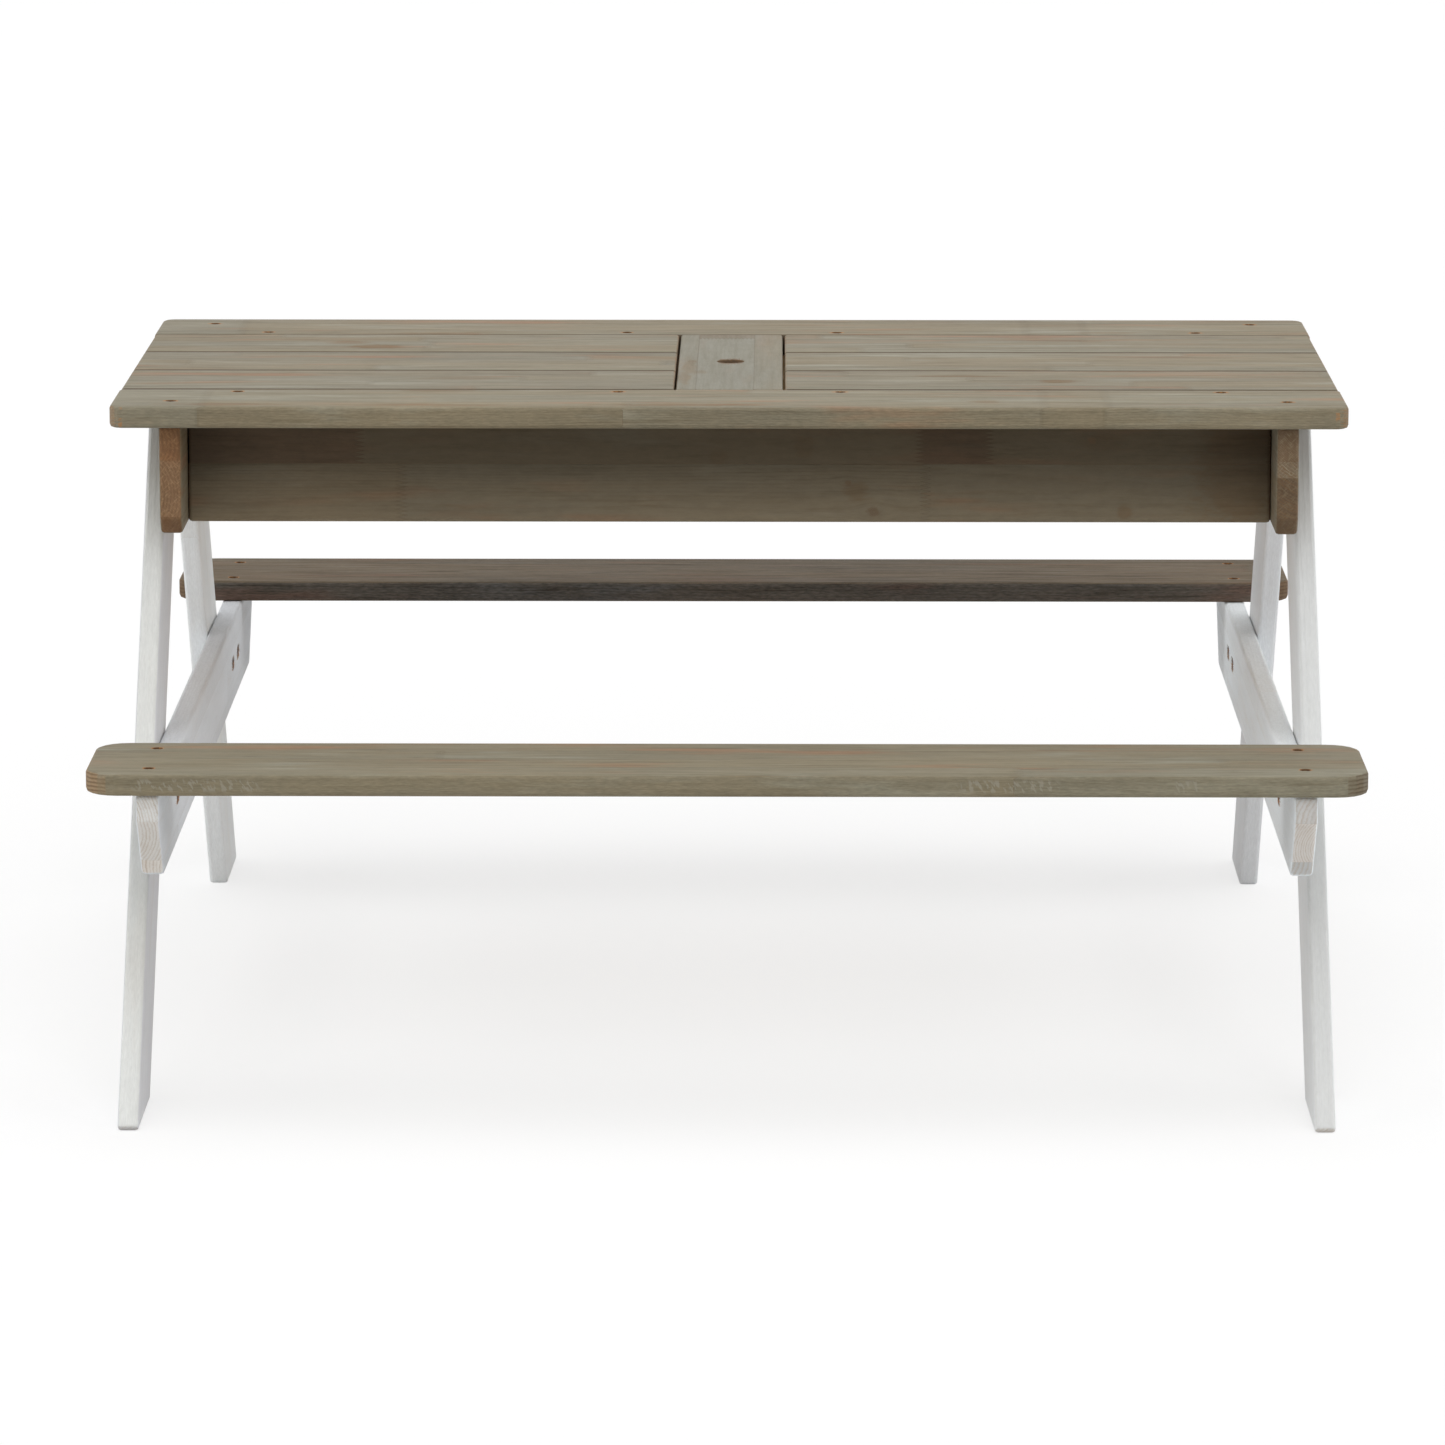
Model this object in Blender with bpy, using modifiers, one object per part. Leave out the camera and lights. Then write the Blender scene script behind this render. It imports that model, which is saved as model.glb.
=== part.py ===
"""Children's picnic table with two bench seats and a sandbox under lift-off lids.

X runs along the table, Y from the front seat to the back seat, Z up from the floor.
All lengths are in metres.
"""

from math import acos, atan2, cos, hypot, pi, radians, sin, tan

import bmesh
import bpy
from mathutils import Euler, Matrix, Vector

# Clearances and working values
CONTACT_GAP = 0.0003
CUT_OVERRUN = 0.004
WELD_DISTANCE = 0.00001
FLAT_ANGLE = radians(1)
SHARP_ANGLE = radians(35)
ARC_STEPS = 5
EDGE_STEPS = 2
SCREW_SIDES = 12
HOLE_SIDES = 32

# Tabletop planks
TABLE_HEIGHT = 0.581
TOP_LENGTH = 1.080
TOP_THICKNESS = 0.0195
TOP_END_OVERHANG = 0.0237
TOP_EDGE_ROUND = 0.003
EDGE_PLANK_WIDTH = 0.1085
EDGE_PLANK_CORNER = 0.012
EDGE_PLANK_INNER_CORNER = 0.004
PLANK_GROOVE = 0.0012

# Lids and the centre board
LID_PLANK_COUNT = 3
LID_PLANK_WIDTH = 0.1209
LID_END_INSET = 0.0015
LID_EDGE_ROUND = 0.002
LID_CORNER = 0.003
CENTRE_BOARD_WIDTH = 0.0945
CENTRE_BOARD_GAP = 0.002
FINGER_HOLE_DIAMETER = 0.025
BATTEN_WIDTH = 0.040
BATTEN_HEIGHT = 0.018
BATTEN_CLEARANCE = 0.003
BATTEN_EDGE_ROUND = 0.0015

# Legs: overall spreads, and the gap between a front and a back leg under the top
LEG_THICKNESS = 0.018
LEG_WIDTH = 0.095
FOOT_SPREAD = 1.1416
LEG_TOP_GAP = 0.065
LEG_CORNER = 0.004
BOARD_EDGE_ROUND = 0.003

# Cross members of the two end frames
CROSSMEMBER_THICKNESS = 0.0195
TOP_CROSSMEMBER_HEIGHT = 0.0965
TOP_CROSSMEMBER_SETBACK = 0.018
TOP_CROSSMEMBER_CHAMFER_RUN = 0.010
TOP_CROSSMEMBER_CHAMFER_RISE = 0.014
SEAT_CROSSMEMBER_HEIGHT = 0.0785
SEAT_CROSSMEMBER_SETBACK = 0.0075
SEAT_CROSSMEMBER_END_DROP = 0.0235
SEAT_CROSSMEMBER_SLANT_RUN = 0.0475
CROSSMEMBER_CORNER = 0.004
SEAT_CROSSMEMBER_SHOULDER_ROUND = 0.004
SEAT_CROSSMEMBER_TOE_ROUND = 0.010

# Seats
SEAT_HEIGHT = 0.307
SEAT_END_OVERHANG = 0.0252
SEAT_WIDTH = 0.144
SEAT_THICKNESS = 0.019
SEAT_SPREAD = 1.120
SEAT_CORNER = 0.028

# Sandbox: side boards, floor, the cleats under it and the bearers across the top
APRON_THICKNESS = 0.020
APRON_HEIGHT = 0.0952
APRON_REVEAL = 0.0045
CLEAT_SIZE = 0.020
BASE_THICKNESS = 0.009
BEARER_WIDTH = 0.040
BEARER_HEIGHT = 0.034
BEARER_HOUSING_DEPTH = 0.006
HIDDEN_EDGE_ROUND = 0.001

# Wood screws with countersunk heads: small ones in the boards and large ones in the legs.
# The sink is how deep the head lies under the face, and the flare is how much wider the
# hole is at the face than at the head.
BOARD_SCREW = {"head": 0.009, "shank": 0.0045, "head_height": 0.0032, "sink": 0.0015, "flare": 0.0}
LEG_SCREW = {"head": 0.012, "shank": 0.006, "head_height": 0.003, "sink": 0.0028, "flare": 0.001}
SCREW_TIP_LENGTH = 0.004
SCREW_GRIP = 0.025
SCREW_BITE_SHARE = 0.8

# Where the screws stand, as shares of the piece that each row follows
EDGE_PLANK_SCREW_SHARE = 0.685
APRON_SCREW_SHARES = (-0.907, -0.205, 0.205, 0.907)
SEAT_SCREW_SHARES = (-0.31, 0.31)
LEG_SCREW_SHARES = (-0.27, 0.27)

# Heights
top_underside = TABLE_HEIGHT - TOP_THICKNESS
frame_top = top_underside - CONTACT_GAP
apron_bottom = frame_top - APRON_HEIGHT
seat_frame_top = SEAT_HEIGHT - SEAT_THICKNESS - CONTACT_GAP
seat_frame_bottom = seat_frame_top - SEAT_CROSSMEMBER_HEIGHT
base_bottom = apron_bottom + CLEAT_SIZE + CONTACT_GAP

# Places across the table, from the middle outward
lid_depth = LID_PLANK_COUNT * LID_PLANK_WIDTH + (LID_PLANK_COUNT - 1) * PLANK_GROOVE
edge_plank_inner = lid_depth / 2 + PLANK_GROOVE
edge_plank_middle = edge_plank_inner + EDGE_PLANK_WIDTH / 2
top_half_depth = edge_plank_inner + EDGE_PLANK_WIDTH
apron_inner = edge_plank_inner + APRON_REVEAL
apron_middle = apron_inner + APRON_THICKNESS / 2
box_half_depth = apron_inner - CONTACT_GAP
bearer_half_length = apron_inner + BEARER_HOUSING_DEPTH - CONTACT_GAP
top_crossmember_half = top_half_depth - TOP_CROSSMEMBER_SETBACK
seat_crossmember_half = SEAT_SPREAD / 2 - SEAT_CROSSMEMBER_SETBACK
seat_middle = (SEAT_SPREAD - SEAT_WIDTH) / 2

# Places along the table, from the middle outward
leg_outer = TOP_LENGTH / 2 - TOP_END_OVERHANG
leg_middle = leg_outer - LEG_THICKNESS / 2
seat_length = 2 * (leg_outer + SEAT_END_OVERHANG)
crossmember_outer = leg_outer - LEG_THICKNESS - CONTACT_GAP
crossmember_middle = crossmember_outer - CROSSMEMBER_THICKNESS / 2
crossmember_inner = crossmember_outer - CROSSMEMBER_THICKNESS
box_half_length = crossmember_inner - CONTACT_GAP
seam_middle = (CENTRE_BOARD_WIDTH + CENTRE_BOARD_GAP) / 2
lid_inner_end = CENTRE_BOARD_WIDTH / 2 + CENTRE_BOARD_GAP
lid_outer_end = TOP_LENGTH / 2 - LID_END_INSET
lid_length = lid_outer_end - lid_inner_end
lid_middle = (lid_outer_end + lid_inner_end) / 2
bearer_outer = seam_middle + BEARER_WIDTH / 2
inner_batten_middle = bearer_outer + BATTEN_CLEARANCE + BATTEN_WIDTH / 2
outer_batten_middle = crossmember_inner - BATTEN_CLEARANCE - BATTEN_WIDTH / 2
batten_half_length = edge_plank_inner - BATTEN_CLEARANCE

# Lean of the legs, so that each fills the run from its foot to the gap under the top
leg_run = (FOOT_SPREAD - LEG_TOP_GAP) / 2
leg_lean = acos(LEG_WIDTH / hypot(leg_run, frame_top)) - atan2(frame_top, leg_run)
leg_level_width = LEG_WIDTH / cos(leg_lean)

SIDES = {"left": -1, "right": 1}
ENDS = {"front": -1, "back": 1}
DOWN = Vector((0, 0, -1))
SIDE_VIEW = Euler((pi / 2, 0, pi / 2))


def clear_scene():
    for item in list(bpy.data.objects):
        bpy.data.objects.remove(item, do_unlink=True)


def new_collection(name):
    collection = bpy.data.collections.new(name)
    bpy.context.scene.collection.children.link(collection)
    return collection


def new_material(name, colour, roughness, metallic=0.0):
    material = bpy.data.materials.new(name)
    material.use_nodes = True
    shader = material.node_tree.nodes["Principled BSDF"]
    shader.inputs["Base Color"].default_value = (*colour, 1.0)
    shader.inputs["Roughness"].default_value = roughness
    shader.inputs["Metallic"].default_value = metallic
    material.diffuse_color = (*colour, 1.0)
    return material


clear_scene()
PARTS = new_collection("picnic_table_with_sandbox")
CUTTERS = new_collection("picnic_table_cutters")
BROWN_STAIN = new_material("grey_brown_stain", (0.27, 0.24, 0.175), 0.65)
WHITE_STAIN = new_material("white_stain", (0.72, 0.72, 0.72), 0.60)
RAW_PINE = new_material("raw_pine", (0.58, 0.40, 0.22), 0.70)
PLYWOOD = new_material("plywood", (0.50, 0.36, 0.21), 0.70)
SCREW_STEEL = new_material("screw_steel", (0.55, 0.42, 0.22), 0.35, 1.0)


def add_object(name, mesh, material, location, parent=None):
    item = bpy.data.objects.new(name, mesh)
    if material:
        mesh.materials.append(material)
    item.location = Vector(location)
    if parent:
        item.parent = parent
        item.location = item.location - parent.location
    PARTS.objects.link(item)
    return item


def add_empty(name, location):
    empty = bpy.data.objects.new(name, None)
    empty.location = location
    PARTS.objects.link(empty)
    return empty


def round_edges(item, radius):
    bevel = item.modifiers.new("rounded_edges", "BEVEL")
    bevel.width = radius
    bevel.segments = EDGE_STEPS
    bevel.limit_method = "ANGLE"
    bevel.angle_limit = SHARP_ANGLE


def cut(item, cutter):
    boolean = item.modifiers.new("cut_" + cutter.name, "BOOLEAN")
    boolean.operation = "DIFFERENCE"
    boolean.object = cutter


def rounded_outline(corners):
    """Turn (x, y, radius) corners into the points of a closed outline with arcs."""
    points = []
    for index, (x, y, radius) in enumerate(corners):
        corner = Vector((x, y))
        before = (Vector(corners[index - 1][:2]) - corner).normalized()
        after = (Vector(corners[(index + 1) % len(corners)][:2]) - corner).normalized()
        half_angle = before.angle(after) / 2
        centre = corner + (before + after).normalized() * radius / sin(half_angle)
        start = corner + before * radius / tan(half_angle) - centre
        end = corner + after * radius / tan(half_angle) - centre
        sweep = start.angle_signed(end)
        for step in range(ARC_STEPS + 1):
            turn = Matrix.Rotation(-sweep * step / ARC_STEPS, 2)
            points.append(centre + turn @ start)
    return points


def rectangle(length, width, outer_radius, inner_radius):
    """Outline round the origin; the inner radius is on the corners at +Y."""
    return [
        (-length / 2, -width / 2, outer_radius),
        (length / 2, -width / 2, outer_radius),
        (length / 2, width / 2, inner_radius),
        (-length / 2, width / 2, inner_radius),
    ]


def plate_mesh(name, corners, thickness):
    """A flat board with the given outline, extruded half its thickness each way."""
    outline = rounded_outline(corners)
    curve = bpy.data.curves.new(name, "CURVE")
    curve.dimensions = "2D"
    curve.fill_mode = "BOTH"
    curve.extrude = thickness / 2
    spline = curve.splines.new("POLY")
    spline.points.add(len(outline) - 1)
    for point, place in zip(spline.points, outline):
        point.co = (place.x, place.y, 0, 1)
    spline.use_cyclic_u = True
    drawn = bpy.data.objects.new(name + "_outline", curve)
    PARTS.objects.link(drawn)
    evaluated = drawn.evaluated_get(bpy.context.evaluated_depsgraph_get())
    mesh = bpy.data.meshes.new_from_object(evaluated)
    mesh.name = name
    bpy.data.objects.remove(drawn)
    bpy.data.curves.remove(curve)
    shape = bmesh.new()
    shape.from_mesh(mesh)
    bmesh.ops.remove_doubles(shape, verts=shape.verts, dist=WELD_DISTANCE)
    bmesh.ops.dissolve_limit(shape, angle_limit=FLAT_ANGLE, verts=shape.verts, edges=shape.edges)
    bmesh.ops.recalc_face_normals(shape, faces=shape.faces)
    shape.to_mesh(mesh)
    shape.free()
    return mesh


def box_mesh(name, size):
    mesh = bpy.data.meshes.new(name)
    shape = bmesh.new()
    bmesh.ops.create_cube(shape, size=1, matrix=Matrix.Diagonal((*size, 1)))
    shape.to_mesh(mesh)
    shape.free()
    return mesh


def cylinder_mesh(name, diameter, depth):
    mesh = bpy.data.meshes.new(name)
    shape = bmesh.new()
    radius = diameter / 2
    bmesh.ops.create_cone(
        shape, cap_ends=True, segments=HOLE_SIDES, radius1=radius, radius2=radius, depth=depth
    )
    shape.to_mesh(mesh)
    shape.free()
    return mesh


def board(name, size, centre, material, edge, parent=None):
    """A straight board with rounded edges."""
    item = add_object(name, box_mesh(name, size), material, centre, parent)
    round_edges(item, edge)
    return item


def side_plate(name, corners, thickness, middle_x, material):
    """A board outlined in the table's side view, (y, z), and lying across X."""
    item = add_object(name, plate_mesh(name, corners, thickness), material, (middle_x, 0, 0))
    item.rotation_euler = SIDE_VIEW
    round_edges(item, BOARD_EDGE_ROUND)
    return item


def turned_mesh(name, profile):
    """Turn (radius, height) points, listed from top to bottom, round the Z axis."""
    mesh = bpy.data.meshes.new(name)
    edges = [(index, index + 1) for index in range(len(profile) - 1)]
    mesh.from_pydata([(radius, 0, height) for radius, height in profile], edges, [])
    item = bpy.data.objects.new(name, mesh)
    CUTTERS.objects.link(item)
    screw = item.modifiers.new("turned", "SCREW")
    screw.steps = SCREW_SIDES
    screw.render_steps = SCREW_SIDES
    screw.use_merge_vertices = True
    screw.merge_threshold = WELD_DISTANCE
    evaluated = item.evaluated_get(bpy.context.evaluated_depsgraph_get())
    turned = bpy.data.meshes.new_from_object(evaluated)
    bpy.data.objects.remove(item)
    bpy.data.meshes.remove(mesh)
    return turned


def screw_profile(kind, length):
    head = kind["head"] / 2
    shank = kind["shank"] / 2
    crown = -kind["sink"]
    return [
        (0, crown),
        (head, crown),
        (shank, crown - kind["head_height"]),
        (shank, -length + SCREW_TIP_LENGTH),
        (0, -length),
    ]


def hole_profile(kind, length):
    head = kind["head"] / 2 + CONTACT_GAP
    shank = kind["shank"] / 2 + CONTACT_GAP
    crown = -kind["sink"]
    mouth = head + kind["flare"] * (CUT_OVERRUN - crown) / -crown
    return [
        (0, CUT_OVERRUN),
        (mouth, CUT_OVERRUN),
        (head, crown),
        (shank, crown - kind["head_height"]),
        (shank, -length + SCREW_TIP_LENGTH),
        (0, -length - CONTACT_GAP),
    ]


def screw_meshes(kind, length):
    """A screw and the hole that it sits in, both with the board's face at the origin."""
    screw = turned_mesh("wood_screw", screw_profile(kind, length))
    screw.materials.append(SCREW_STEEL)
    screw.set_sharp_from_angle(angle=SHARP_ANGLE)
    return screw, turned_mesh("screw_hole", hole_profile(kind, length))


def add_cutter(name, mesh, location):
    cutter = bpy.data.objects.new(name, mesh)
    cutter.location = location
    cutter.hide_render = True
    cutter.display_type = "WIRE"
    CUTTERS.objects.link(cutter)
    return cutter


def drive_screw(name, meshes, position, direction, boards):
    """Put one screw in at a board's face and drill the boards that it joins."""
    screw_mesh, hole_mesh = meshes
    turn = DOWN.rotation_difference(Vector(direction)).to_euler()
    screw = add_object(name, screw_mesh, None, position)
    screw.rotation_euler = turn
    hole = add_cutter(name + "_hole", hole_mesh, position)
    hole.rotation_euler = turn
    for item in boards:
        cut(item, hole)


def make_top_plank(end):
    """One of the two fixed planks along the edges of the tabletop."""
    name = end + "_top_plank"
    corners = rectangle(TOP_LENGTH, EDGE_PLANK_WIDTH, EDGE_PLANK_CORNER, EDGE_PLANK_INNER_CORNER)
    mesh = plate_mesh(name, corners, TOP_THICKNESS)
    middle = ENDS[end] * edge_plank_middle
    plank = add_object(name, mesh, BROWN_STAIN, (0, middle, top_underside + TOP_THICKNESS / 2))
    plank.rotation_euler.z = pi if ENDS[end] > 0 else 0
    round_edges(plank, TOP_EDGE_ROUND)
    return plank


def make_apron(end):
    """A side board of the sandbox, with a housing for each bearer's end."""
    size = (2 * box_half_length, APRON_THICKNESS, APRON_HEIGHT)
    centre = (0, ENDS[end] * apron_middle, frame_top - APRON_HEIGHT / 2)
    apron = board(end + "_apron", size, centre, BROWN_STAIN, BOARD_EDGE_ROUND)
    for side, way in SIDES.items():
        name = end + "_apron_" + side + "_housing"
        width = BEARER_WIDTH + 2 * CONTACT_GAP
        depth = BEARER_HOUSING_DEPTH + CUT_OVERRUN
        height = BEARER_HEIGHT + CONTACT_GAP + CUT_OVERRUN
        middle_y = apron_inner + BEARER_HOUSING_DEPTH - depth / 2
        middle_z = frame_top + CUT_OVERRUN - height / 2
        place = (way * seam_middle, ENDS[end] * middle_y, middle_z)
        cut(apron, add_cutter(name, box_mesh(name, (width, depth, height)), place))
    return apron


def make_top_crossmember(side):
    half = top_crossmember_half
    bottom = frame_top - TOP_CROSSMEMBER_HEIGHT
    corners = [
        (-half, frame_top, CROSSMEMBER_CORNER),
        (-half, bottom + TOP_CROSSMEMBER_CHAMFER_RISE, CROSSMEMBER_CORNER),
        (-half + TOP_CROSSMEMBER_CHAMFER_RUN, bottom, CROSSMEMBER_CORNER),
        (half - TOP_CROSSMEMBER_CHAMFER_RUN, bottom, CROSSMEMBER_CORNER),
        (half, bottom + TOP_CROSSMEMBER_CHAMFER_RISE, CROSSMEMBER_CORNER),
        (half, frame_top, CROSSMEMBER_CORNER),
    ]
    name = side + "_top_crossmember"
    middle = SIDES[side] * crossmember_middle
    return side_plate(name, corners, CROSSMEMBER_THICKNESS, middle, BROWN_STAIN)


def make_seat_crossmember(side):
    """The long cross member under both seats, with its ends cut away below."""
    half = seat_crossmember_half
    shoulder = seat_frame_top - SEAT_CROSSMEMBER_END_DROP
    corners = [
        (-half, seat_frame_top, CROSSMEMBER_CORNER),
        (-half, shoulder, SEAT_CROSSMEMBER_SHOULDER_ROUND),
        (-half + SEAT_CROSSMEMBER_SLANT_RUN, seat_frame_bottom, SEAT_CROSSMEMBER_TOE_ROUND),
        (half - SEAT_CROSSMEMBER_SLANT_RUN, seat_frame_bottom, SEAT_CROSSMEMBER_TOE_ROUND),
        (half, shoulder, SEAT_CROSSMEMBER_SHOULDER_ROUND),
        (half, seat_frame_top, CROSSMEMBER_CORNER),
    ]
    name = side + "_seat_crossmember"
    middle = SIDES[side] * crossmember_middle
    return side_plate(name, corners, CROSSMEMBER_THICKNESS, middle, WHITE_STAIN)


def make_leg(end, side):
    """A leaning leg, cut level at the floor and under the tabletop."""
    foot = FOOT_SPREAD / 2
    top = LEG_TOP_GAP / 2
    lean = ENDS[end]
    corners = [
        (lean * foot, 0, LEG_CORNER),
        (lean * (foot - leg_level_width), 0, LEG_CORNER),
        (lean * top, frame_top, LEG_CORNER),
        (lean * (top + leg_level_width), frame_top, LEG_CORNER),
    ]
    name = end + "_" + side + "_leg"
    return side_plate(name, corners, LEG_THICKNESS, SIDES[side] * leg_middle, WHITE_STAIN)


def leg_middle_at(height):
    """Distance of a leg's middle from the table's middle, across the table."""
    return (FOOT_SPREAD - leg_level_width) / 2 - height * tan(leg_lean)


def make_seat(end):
    name = end + "_seat"
    corners = rectangle(seat_length, SEAT_WIDTH, SEAT_CORNER, SEAT_CORNER)
    mesh = plate_mesh(name, corners, SEAT_THICKNESS)
    centre = (0, ENDS[end] * seat_middle, SEAT_HEIGHT - SEAT_THICKNESS / 2)
    seat = add_object(name, mesh, BROWN_STAIN, centre)
    round_edges(seat, BOARD_EDGE_ROUND)
    return seat


def make_bearer(side):
    """A rail across the box, under the joint between a lid and the centre board."""
    size = (BEARER_WIDTH, 2 * bearer_half_length, BEARER_HEIGHT)
    centre = (SIDES[side] * seam_middle, 0, frame_top - BEARER_HEIGHT / 2)
    return board(side + "_bearer", size, centre, RAW_PINE, HIDDEN_EDGE_ROUND)


def make_long_cleat(end):
    size = (2 * box_half_length, CLEAT_SIZE, CLEAT_SIZE)
    centre = (0, ENDS[end] * (box_half_depth - CLEAT_SIZE / 2), apron_bottom + CLEAT_SIZE / 2)
    return board(end + "_base_cleat", size, centre, RAW_PINE, HIDDEN_EDGE_ROUND)


def make_short_cleat(side):
    size = (CLEAT_SIZE, 2 * (box_half_depth - CLEAT_SIZE - CONTACT_GAP), CLEAT_SIZE)
    centre = (SIDES[side] * (box_half_length - CLEAT_SIZE / 2), 0, apron_bottom + CLEAT_SIZE / 2)
    return board(side + "_base_cleat", size, centre, RAW_PINE, HIDDEN_EDGE_ROUND)


def make_base():
    size = (2 * box_half_length, 2 * box_half_depth, BASE_THICKNESS)
    centre = (0, 0, base_bottom + BASE_THICKNESS / 2)
    return board("sandbox_base", size, centre, PLYWOOD, HIDDEN_EDGE_ROUND)


def screw_planks(end, plank, apron, crossmembers):
    """An edge plank is screwed down to both top cross members and along its apron."""
    meshes = screw_meshes(BOARD_SCREW, TOP_THICKNESS + SCREW_GRIP)
    line = ENDS[end] * (edge_plank_inner + EDGE_PLANK_WIDTH * EDGE_PLANK_SCREW_SHARE)
    for side, way in SIDES.items():
        name = end + "_plank_" + side + "_end_screw"
        place = (way * crossmember_middle, line, TABLE_HEIGHT)
        drive_screw(name, meshes, place, DOWN, [plank, crossmembers[side]])
    for number, share in enumerate(APRON_SCREW_SHARES, start=1):
        name = end + "_plank_apron_screw_" + str(number)
        place = (share * box_half_length, ENDS[end] * apron_middle, TABLE_HEIGHT)
        drive_screw(name, meshes, place, DOWN, [plank, apron])


def screw_seat(end, seat, crossmembers):
    meshes = screw_meshes(BOARD_SCREW, SEAT_THICKNESS + SCREW_GRIP)
    for side, way in SIDES.items():
        for number, share in enumerate(SEAT_SCREW_SHARES, start=1):
            name = end + "_seat_" + side + "_screw_" + str(number)
            line = ENDS[end] * (seat_middle + share * SEAT_WIDTH)
            place = (way * crossmember_middle, line, SEAT_HEIGHT)
            drive_screw(name, meshes, place, DOWN, [seat, crossmembers[side]])


def screw_leg(end, side, leg, crossmember):
    """Two large screws from the cross member's inner face into the leg behind it."""
    length = CROSSMEMBER_THICKNESS + SCREW_BITE_SHARE * LEG_THICKNESS
    meshes = screw_meshes(LEG_SCREW, length)
    height = seat_frame_top - SEAT_CROSSMEMBER_HEIGHT / 2
    way = SIDES[side]
    for number, share in enumerate(LEG_SCREW_SHARES, start=1):
        name = end + "_" + side + "_leg_screw_" + str(number)
        line = ENDS[end] * (leg_middle_at(height) + share * leg_level_width)
        place = (way * crossmember_inner, line, height)
        drive_screw(name, meshes, place, (way, 0, 0), [crossmember, leg])


def make_frame():
    """The fixed frame: end frames, aprons, edge planks, seats and the sandbox's floor."""
    top_crossmembers = {side: make_top_crossmember(side) for side in SIDES}
    seat_crossmembers = {side: make_seat_crossmember(side) for side in SIDES}
    for end in ENDS:
        screw_planks(end, make_top_plank(end), make_apron(end), top_crossmembers)
        screw_seat(end, make_seat(end), seat_crossmembers)
        for side in SIDES:
            screw_leg(end, side, make_leg(end, side), seat_crossmembers[side])
        make_long_cleat(end)
    for side in SIDES:
        make_short_cleat(side)
        make_bearer(side)
    make_base()


def make_lid(side):
    """Three planks on two battens that drop inside the box and hold the lid in place."""
    way = SIDES[side]
    lift = add_empty(side + "_lid_lift", Vector((way * lid_middle, 0, top_underside)))
    pitch = LID_PLANK_WIDTH + PLANK_GROOVE
    for number in range(LID_PLANK_COUNT):
        name = side + "_lid_plank_" + str(number + 1)
        line = (number - (LID_PLANK_COUNT - 1) / 2) * pitch
        corners = rectangle(lid_length, LID_PLANK_WIDTH, LID_CORNER, LID_CORNER)
        mesh = plate_mesh(name, corners, TOP_THICKNESS)
        place = (way * lid_middle, line, top_underside + TOP_THICKNESS / 2)
        plank = add_object(name, mesh, BROWN_STAIN, place, lift)
        round_edges(plank, LID_EDGE_ROUND)
    size = (BATTEN_WIDTH, 2 * batten_half_length, BATTEN_HEIGHT)
    for label, middle in (("inner", inner_batten_middle), ("outer", outer_batten_middle)):
        name = side + "_lid_" + label + "_batten"
        place = (way * middle, 0, frame_top - BATTEN_HEIGHT / 2)
        board(name, size, place, RAW_PINE, BATTEN_EDGE_ROUND, lift)


def make_centre_board():
    """The board between the lids, with a round finger hole through its middle."""
    lift = add_empty("centre_board_lift", Vector((0, 0, top_underside)))
    middle = (0, 0, top_underside + TOP_THICKNESS / 2)
    mesh = box_mesh("centre_board", (CENTRE_BOARD_WIDTH, lid_depth, TOP_THICKNESS))
    centre_board = add_object("centre_board", mesh, BROWN_STAIN, middle, lift)
    hole = cylinder_mesh("finger_hole", FINGER_HOLE_DIAMETER, TOP_THICKNESS + 2 * CUT_OVERRUN)
    round_edges(centre_board, LID_EDGE_ROUND)
    cut(centre_board, add_cutter("finger_hole", hole, middle))


make_frame()
for lid_side in SIDES:
    make_lid(lid_side)
make_centre_board()
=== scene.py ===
"""Looks of the children's picnic table with sandbox: camera, light, wood finishes and screws.

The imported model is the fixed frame. Lengths are in metres, X runs along the table,
Y from the front seat to the back seat and Z up from the floor.
"""

import random
from math import cos, pi, radians, sin

import bmesh
import bpy
from mathutils import Matrix, Vector


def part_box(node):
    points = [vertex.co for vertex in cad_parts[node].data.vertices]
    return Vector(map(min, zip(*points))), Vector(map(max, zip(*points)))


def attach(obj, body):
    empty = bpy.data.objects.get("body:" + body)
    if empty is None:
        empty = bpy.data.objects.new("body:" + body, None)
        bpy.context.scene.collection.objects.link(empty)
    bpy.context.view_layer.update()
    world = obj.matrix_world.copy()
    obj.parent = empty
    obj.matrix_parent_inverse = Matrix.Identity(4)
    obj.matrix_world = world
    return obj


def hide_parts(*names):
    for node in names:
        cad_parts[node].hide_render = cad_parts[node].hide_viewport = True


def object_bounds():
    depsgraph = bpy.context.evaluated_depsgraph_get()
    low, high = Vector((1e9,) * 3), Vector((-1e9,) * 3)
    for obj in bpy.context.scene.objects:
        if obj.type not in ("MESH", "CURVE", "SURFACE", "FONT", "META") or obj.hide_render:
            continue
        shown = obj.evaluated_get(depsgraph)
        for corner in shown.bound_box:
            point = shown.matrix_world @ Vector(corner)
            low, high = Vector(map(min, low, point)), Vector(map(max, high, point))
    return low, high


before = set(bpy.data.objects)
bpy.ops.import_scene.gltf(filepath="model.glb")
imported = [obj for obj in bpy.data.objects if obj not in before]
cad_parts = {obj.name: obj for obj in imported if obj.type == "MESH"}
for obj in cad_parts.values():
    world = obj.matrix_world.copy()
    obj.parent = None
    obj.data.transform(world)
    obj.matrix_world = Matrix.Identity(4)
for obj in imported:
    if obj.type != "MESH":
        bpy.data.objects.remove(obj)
cad_low, cad_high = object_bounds()

# Camera, fitted to the photo's edges
SENSOR_WIDTH = 36.0
CAMERA_LENS = 180.37
CAMERA_PLACE = Vector((0.04012, -6.5313, 1.476147))
CAMERA_PITCH = radians(10.68807)
CAMERA_YAW = radians(-0.40384)
CAMERA_ROLL = radians(-0.01)
CAMERA_SHIFT = (-0.00112, 0.00247)

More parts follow.
